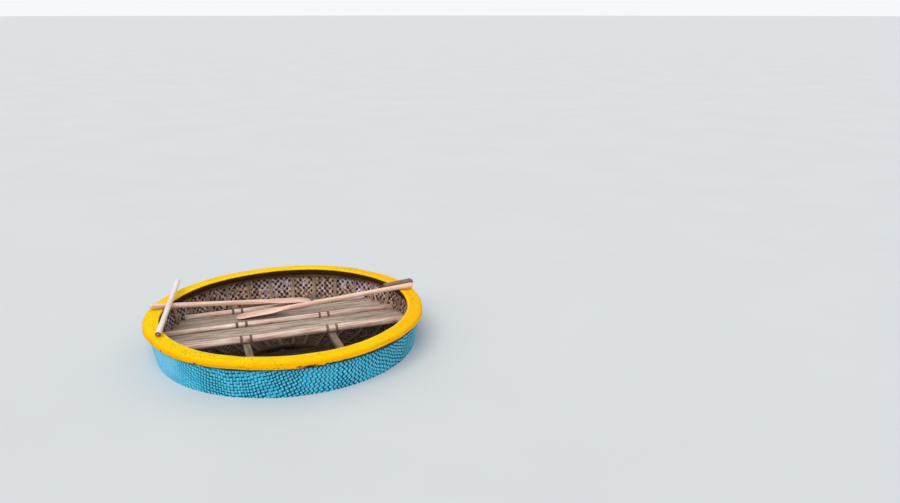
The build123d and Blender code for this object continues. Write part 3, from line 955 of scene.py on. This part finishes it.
def build_floor_hoop():
    count = 160
    low_inner = height_at_radius(FLOOR_HOOP_RADIUS - FLOOR_HOOP_WIDTH, CAGE)
    low_outer = height_at_radius(FLOOR_HOOP_RADIUS, CAGE)
    depth = FLOOR_LEVEL - low_outer
    section, edges, _ = corner_section(FLOOR_HOOP_WIDTH, depth, (0.004,) * 4, 2, (2,) * 4)
    # its underside follows the bowl
    inward, below = 0.5 - section[:, 0] / FLOOR_HOOP_WIDTH, 0.5 - section[:, 1] / depth
    section[:, 1] -= (low_outer - low_inner) * inward * below
    tone = 0.3 * edges + 0.2 * waves(round_numbers(count), 77, 3, 20)[:, None]
    radius = FLOOR_HOOP_RADIUS - FLOOR_HOOP_WIDTH / 2
    bend_hoop(Builder(9), "floor_ring", "floor_hoop", count, radius, FLOOR_LEVEL - depth / 2, section, tone)


build_hoop("hoop_under_rim", "upper_hoop", UPPER_HOOP_LOW, UPPER_HOOP_TOP, UPPER_HOOP_WIDTH, 7)
build_hoop("ledge_hoop", "bench_ledge", LEDGE_TOP - LEDGE_DEPTH, LEDGE_TOP, LEDGE_WIDTH, 8, grooved=True)
build_floor_hoop()


# Crossbeams, bench slats and floor slats: sawn boards
def add_nail(b, x, y, z):
    """A domed nail head, pressed slightly in."""
    rings = np.array([(0.0046, -0.001), (0.0046, 0.0004), (0.0036, 0.0011), (0.0018, 0.0015)])
    points = round_points(round_numbers(10), rings[:, :1], rings[:, 1:]) + np.array([x, y, z])
    first = grid(b, points, np.zeros((4, 11, 3)), 0.0, 1)
    for ring in (3, 0):
        middle = b.add([(x, y, z + rings[ring, 1])])
        bridge(b, first + ring * 10 + np.arange(10), [middle], np.zeros((11, 3)), np.zeros((2, 3)), 1)


def build_board(name, node, middle, half, width, thickness, rounds, material, slot, seed, nails=(), **more):
    """A board between middle - half and middle + half."""
    b = Builder(seed)
    middle, half = np.array(middle, float), np.array(half, float)
    section, edges, _ = corner_section(width, thickness, rounds, 3, (4,) * 4)
    bar(b, middle - half, middle + half, section, 0.55 * edges, stations=48, **more)
    for nail in nails:
        add_nail(b, *nail)
    return b.make(name, [WOOD[material], IRON], slot, [node], sharp=50)


beam_half = half_chord(LEDGE_TOP, BEAM_OFFSET + BEAM_WIDTH / 2)
for name, side in (("left", -1), ("right", 1)):
    x = side * BEAM_OFFSET
    nails = [(x + dx, dy * (beam_half - 0.02), SLAT_BOTTOM) for dx in (-0.01, 0.012) for dy in (-1, 1)]
    build_board(
        f"beam_{name}", f"crossbeam_{name}", (x, 0, LEDGE_TOP + BEAM_DEPTH / 2), (0, beam_half, 0),
        BEAM_WIDTH, BEAM_DEPTH, (0.004, 0.004, 0.012, 0.012), "beam_wood", "beam_wood", 20 + side, nails,
        bow=0.0012, swell=0.006,
    )

SLATS = [
    # middle from the axis, width
    (0.025, 0.070),
    (0.106, 0.078),
    (0.188, 0.066),
    (0.326, 0.072),
    (0.410, 0.080),
    (0.492, 0.068),
]
for number, (offset, width) in enumerate(SLATS, 1):
    nails = [
        (side * BEAM_OFFSET + dx, offset + dy * width, SEAT_TOP)
        for side in (-1, 1) for dx, dy in ((-0.009, -0.25), (0.011, 0.22))
    ]
    build_board(
        f"seat_board_{number}", f"bench_slat_{number}", (0, offset, SLAT_BOTTOM + SLAT_THICKNESS / 2),
        (half_chord(SLAT_BOTTOM, offset + width / 2), 0, 0), width, SLAT_THICKNESS,
        (0.005, 0.005, 0.0015, 0.0015), "slat_wood", "slat_wood", 30 + number, nails, bow=0.0018, swell=0.008,
    )

for number in range(1, FLOOR_SLATS + 1):
    offset = (number - (FLOOR_SLATS + 1) / 2) * FLOOR_SLAT_PITCH
    reach = math.sqrt(FLOOR_HOOP_RADIUS**2 - offset**2) + FLOOR_SLAT_OVERHANG
    on_hoop = math.sqrt((FLOOR_HOOP_RADIUS - FLOOR_HOOP_WIDTH / 2) ** 2 - offset**2)
    nails = [
        (side * on_hoop, offset + dy, FLOOR_LEVEL + FLOOR_SLAT_THICKNESS)
        for side in (-1, 1) for dy in (-0.02, 0.024)
    ]
    build_board(
        f"floor_board_{number}", f"floor_slat_{number}", (0, offset, FLOOR_LEVEL + FLOOR_SLAT_THICKNESS / 2),
        (reach, 0, 0), FLOOR_SLAT_WIDTH, FLOOR_SLAT_THICKNESS, (0.004, 0.004, 0.0015, 0.0015),
        "floor_wood", "slat_wood", 40 + number, nails, bow=0.0015, swell=0.008,
    )


# Bench poles: peeled round wood
def build_pole(name, node, start, end, diameter, seed, material, scars=(), swell=0.02, bow=0.0025, **more):
    b = Builder(seed)
    sides = 22
    length = np.linalg.norm(end - start)
    stations = max(30, round(length / 0.022))
    t = np.linspace(0, 1, stations) * length
    worn = np.zeros((stations, sides))
    knots = [
        (b.random.uniform(0.06, length - 0.06), b.random.uniform(0, TAU), 0.013)
        for _ in range(round(length / 0.24))
    ]
    for place, turn, reach in (*knots, *scars):
        around = np.angle(np.exp(1j * (round_numbers(sides) - turn)))
        worn -= 1.1 * bell(t - place, reach)[:, None] * bell(around, 0.42)
    worn += 0.35 * noise(t, seed + 5, 0.3)[:, None]
    section = round_section(diameter * 0.985 / 2, sides)
    bar(b, start, end, section, worn, stations=stations, bow=bow, swell=swell, **more)
    return b.make(name, [WOOD[material], WOOD["end_grain"]], "pole_wood", [node], sharp=50)


POLES = [
    # name, middle from the axis, diameter
    ("front", -0.050, 0.055),
    ("middle", 0.256, 0.046),
    ("rear", 0.562, 0.048),
]
for number, (name, offset, diameter) in enumerate(POLES):
    half = half_chord(SLAT_BOTTOM, abs(offset) + diameter / 2)
    middle, reach = np.array([0, offset, SLAT_BOTTOM + diameter / 2]), np.array([half - 0.0062, 0, 0])
    # the front pole has dark knots near its right end
    scars = [(2 * half - 0.11, -2.4, 0.035), (2 * half - 0.07, -1.9, 0.03)] if name == "front" else []
    build_pole(
        f"seat_pole_{name}", f"bench_pole_{name}", middle - reach, middle + reach, diameter, 60 + number,
        "pole_wood", scars, cap_tone=(0.3, 0.3, 0.4, 0.5),
        cap_rings=((0.95, 0.0028), (0.8, 0.0050), (0.5, 0.0058)),
    )


# Lashings that hold the poles to the crossbeams, and stitches that hold the hoops to the wall
def tube(b, points, radius, closed, sides):
    """A thin round strand along a line of points."""
    points = np.asarray(points, float)
    along = np.roll(points, -1, 0) - np.roll(points, 1, 0) if closed else np.gradient(points, axis=0)
    along /= np.linalg.norm(along, axis=1)[:, None]
    out = points - points.mean(0)
    out -= (out * along).sum(1)[:, None] * along
    out /= np.linalg.norm(out, axis=1)[:, None] + 1e-9
    caps = {"cap_tone": 0.0, "cap_rings": ((0.7, radius * 0.4),)}
    sweep(b, points, out, np.cross(along, out), round_section(radius, sides), 0.0, closed, **caps)


def build_lashings():
    b = Builder(70)
    strand = 0.0024
    beam_side = BEAM_WIDTH / 2 + strand
    arc = np.radians(np.linspace(-20, 200, 9))
    for side, (_, offset, diameter) in ((side, pole) for side in (-1, 1) for pole in POLES):
        radius = diameter / 2
        axis = np.array([side * BEAM_OFFSET, offset, SLAT_BOTTOM + radius])
        for turn in range(4):
            over = beam_side + 0.0048 * turn + b.random.uniform(0, 0.0006)
            under = radius + strand - 0.004 - 0.0043 * turn
            path = []
            for sense in (1, -1):
                # over the pole on one side of the beam, then down and across under the beam
                for angle in arc[::sense]:
                    path.append(axis + (radius + strand) * np.array([0, math.cos(angle), math.sin(angle)]))
                    path[-1][0] += sense * over
                for share, height in (
                    (1, LEDGE_TOP + 0.034), (1, LEDGE_TOP + 0.013), (0.78, LEDGE_TOP - strand),
                    (-0.78, LEDGE_TOP - strand), (-1, LEDGE_TOP + 0.013), (-1, LEDGE_TOP + 0.034),
                ):
                    path.append((axis[0] + sense * share * beam_side, offset - sense * under, height))
            tube(b, path, strand, True, 6)
    return b.make("pole_lashings", [WOOD["lashing_cord"]], "hoop_bamboo")


def build_stitches():
    b = Builder(71)
    strand, groups = 0.0017, 32
    for low, top, thickness in (
        (UPPER_HOOP_LOW, UPPER_HOOP_TOP, UPPER_HOOP_WIDTH),
        (LEDGE_TOP - LEDGE_DEPTH, LEDGE_TOP, LEDGE_WIDTH),
    ):
        upper, lower, inner = wall_radius(top), wall_radius(low), thickness + strand * 0.7
        path = np.array([
            # radius, height, share of the slant: out of the wall, round the hoop and back in
            (upper + 0.0105, top + 0.0045, 0.0),
            (upper + 0.003, top + strand * 0.8, 0.15),
            (upper - inner + 0.005, top + strand * 0.7, 0.35),
            (upper - inner + 0.0005, top - 0.0008, 0.42),
            (upper - inner - 0.0002, top - 0.005, 0.5),
            (lower - inner - 0.0002, low + 0.005, 0.75),
            (lower - inner + 0.0005, low + 0.0008, 0.8),
            (lower - inner + 0.005, low - strand * 0.7, 0.86),
            (lower + 0.003, low - strand * 0.8, 0.93),
            (lower + 0.0105, low - 0.004, 1.0),
        ])
        for number in range(groups):
            for turn in (-1, 0, 1):
                angle = (number + 0.5) * TAU / groups + turn * 0.0042 + b.random.uniform(-0.0004, 0.0004)
                slant = b.random.uniform(-0.002, 0.002)
                tube(b, round_points(angle + slant * path[:, 2], path[:, 0], path[:, 1]), strand, False, 5)
    return b.make("hoop_stitches", [WOOD["lashing_cord"]], "hoop_bamboo")


build_lashings()
build_stitches()

# Loose gear: paddles, a spare pole and a plank to rest an oar on
SHAFT = 0.040
BLADE_LENGTH = 0.420
BLADE_WIDTH = 0.135
BLADE_THICKNESS = 0.016
BLADE_NOSE = 0.062
SHAFT_PAST_RIM = 0.085
SEAT_GAP = 0.0003
CREST_RADIUS = RIM_RADIUS - RIM_WIDTH + RIM_INNER_ROUND
REAR_TOP = SLAT_BOTTOM + POLES[-1][2]
SPARE = 0.038
PLANK_HALF = 0.1243
PLANK_WIDTH = 0.056
PLANK_THICKNESS = 0.024
# degrees round the rim where each lies, the paddles' tips, and the headings in degrees
RIGHT_ANGLE, RIGHT_TIP = 4.0, (-0.340, 0.440)
LEFT_ANGLE, LEFT_TIP = 163.8, (0.265, 0.562)
SPARE_ANGLE, SPARE_HEADING = 198.5, 80.3
PLANK_ANGLE, PLANK_HEADING = 11.2, 14.0
PLANK_RADIUS = RIM_RADIUS - 0.088


def laid_rod(angle, tip, tip_height):
    """Start and end of a shaft's axis that leans on the rim's inner edge and comes down to tip."""
    crossing = round_points(math.radians(angle), CREST_RADIUS, 0.0)
    run = np.hypot(tip[0] - crossing[0], tip[1] - crossing[1])
    slope = math.atan2(FREEBOARD + SHAFT / 2 - tip_height, run)
    crossing[2] = FREEBOARD + SHAFT / 2 / math.cos(slope) + SEAT_GAP
    end = np.array([*tip, tip_height])
    return crossing - unit(end - crossing) * SHAFT_PAST_RIM, end


def build_paddle(name, top, tip, seed):
    b = Builder(seed)
    length, along = np.linalg.norm(tip - top), unit(tip - top)
    across = unit(np.cross(UP, along))
    neck = length - BLADE_LENGTH
    t = np.concatenate([
        [0, 0.0015, 0.004, 0.008, 0.014],
        np.linspace(0.03, neck - 0.06, 40),
        np.linspace(neck - 0.045, length - 0.07, 30),
        length - BLADE_NOSE * (1 - np.sin(np.linspace(0.05, 1, 14) * math.pi / 2)),
    ])
    t = np.minimum(t, length - 0.0004)
    spread = smooth((t - neck + 0.03) / 0.17)
    # the shaft is thickest at its grip and slims down towards the blade
    shaft = SHAFT / 2 * (0.985 - 0.11 * smooth(t / neck) + 0.07 * bell(t - 0.016, 0.02))
    half_wide = shaft + (BLADE_WIDTH / 2 - shaft) * spread
    half_thick = shaft + (BLADE_THICKNESS / 2 - shaft) * smooth((t - neck + 0.01) / 0.13)
    knob = np.sqrt(np.clip(1 - ((0.012 - t) / 0.012).clip(0, 1) ** 2, 0.02, 1))
    left = np.clip((length - t) / BLADE_NOSE, 0, 1)
    nose = np.sqrt(np.clip(1 - (1 - left) ** 2.4, 0.0, 1))
    half_wide = half_wide * knob * np.maximum(nose, 0.03)
    half_thick = half_thick * knob * np.maximum(np.sqrt(nose), 0.2)
    # the blade's section thins towards its edges
    angle = round_numbers(32)
    c, s = np.cos(angle), np.sin(angle)
    spread = spread[:, None]
    x = half_wide[:, None] * np.sign(c) * np.abs(c) ** 0.85
    y = half_thick[:, None] * np.sign(s) * np.abs(s) ** (2 / (2.0 - 0.75 * spread))
    sections = np.stack([x, y * (1 - 0.25 * spread * c**2)], -1)
    wear = 0.25 * noise(t, seed, 0.12)[:, None] + 0.8 * spread * np.abs(c) ** 6
    wear = wear - 0.5 * bell(t - length + 0.02, 0.05)[:, None]
    centres, up = top + along * t[:, None], np.cross(along, across)
    sweep(b, centres, across, up, sections, wear, cap_tone=0.0, cap_rings=((0.6, 0.0002),))
    return b.make(name, [WOOD["paddle_wood"]], "paddle_wood", [f"{name}_shaft", f"{name}_blade"], sharp=60)


def spare_line(below):
    """Ends of the spare pole: one lies on the rim, and it leans on the shaft whose axis is below."""
    level = FREEBOARD + SPARE / 2 + SEAT_GAP
    near = round_points(math.radians(SPARE_ANGLE), RIM_RADIUS - RIM_WIDTH / 2, level)
    heading = round_points(math.radians(SPARE_HEADING), 1.0, 0.0)
    fall, gap = below[1] - below[0], near - below[0]
    share = (gap[0] * heading[1] - gap[1] * heading[0]) / (fall[0] * heading[1] - fall[1] * heading[0])
    crossing = below[0] + fall * share
    spacing = (SHAFT + SPARE) / 2
    square = unit(np.cross(fall, crossing + UP * spacing - near))
    return near, near + unit(crossing + UP * (spacing + SEAT_GAP) / abs(square[2]) - near)


rest = BLADE_THICKNESS / 2 + SEAT_GAP
right_axis = laid_rod(RIGHT_ANGLE, RIGHT_TIP, SEAT_TOP + rest)
left_axis = laid_rod(LEFT_ANGLE, LEFT_TIP, REAR_TOP + rest)
build_paddle("paddle_right", *right_axis, 81)
build_paddle("paddle_left", *left_axis, 82)
build_pole(
    "loose_pole", "spare_pole", *spare_line(left_axis), SPARE, 90, "loose_wood", bow=0.001, swell=0.012,
    cap_rings=((0.985, 0.0005), (0.95, 0.0007), (0.45, 0.0009), (0.25, 0.0010)),
    cap_tone=(-0.5, -0.5, 0.0, 1.0, 1.0), cap_slot=1,
)
build_board(
    "rest_plank", "oar_rest",
    round_points(math.radians(PLANK_ANGLE), PLANK_RADIUS, FREEBOARD + PLANK_THICKNESS / 2),
    round_points(math.radians(PLANK_HEADING), PLANK_HALF, 0.0), PLANK_WIDTH, PLANK_THICKNESS,
    (0.004, 0.004, 0.002, 0.002), "plank_wood", "plank_wood", 95, bow=0.0006, swell=0.006,
)


# Floor: the water's level, with a round opening that the hull's wall fills
def build_floor():
    m = Shader("floor_pale")
    tone = m.ramp(m.noise(0.7, 2.0), 0.3, 0.7)
    color = m.layers(srgb(0.84, 0.85, 0.855), (tone, srgb(0.85, 0.86, 0.86)))
    radii, columns = np.array([WATER_RADIUS - SKIN_MIDDLE, 1.3, 2.5, 6.0, 30.0, 400.0]), 192
    points = round_points(round_numbers(columns), radii[:, None], 0.0).reshape(-1, 3)
    faces = ring_faces(len(radii), columns).reshape(-1, 4)
    mesh = bpy.data.meshes.new("floor")
    mesh.from_pydata(points.tolist(), [], faces[:, ::-1].tolist())
    mesh.materials.append(m.finish(color, 0.9))
    floor = add_object("floor", mesh)


build_floor()

# Light: a large soft key from the upper left, in a pale world that shows brighter than it lights
sun = bpy.data.lights.new("key", "SUN")
sun.energy = 1.7
sun.angle = math.radians(50)
key = add_object("key", sun)
key.rotation_euler = (-Vector((-0.55, -0.75, 1.25))).to_track_quat("-Z", "Y").to_euler()

world = bpy.data.worlds.new("studio")
bpy.context.scene.world = world
world.use_nodes = True
studio = Nodes(world.node_tree)
studio.tree.nodes.clear()
seen, glossy, through = (
    studio.node("LightPath", f"Is {kind} Ray") for kind in ("Camera", "Glossy", "Transmission")
)
seen = studio.math("MAXIMUM", seen, studio.math("MAXIMUM", glossy, through))
light, shown = (
    studio.node("Background", 0, {"Color": (*color, 1.0), "Strength": strength})
    for color, strength in (((0.93, 0.96, 1.0), 0.62), ((0.93, 0.94, 0.95), 1.0))
)
both = studio.node("MixShader", 0, {0: seen, 1: light, 2: shown})
studio.set(studio.tree.nodes.new("ShaderNodeOutputWorld").inputs["Surface"], both)
bpy.context.scene.view_settings.view_transform = "Standard"
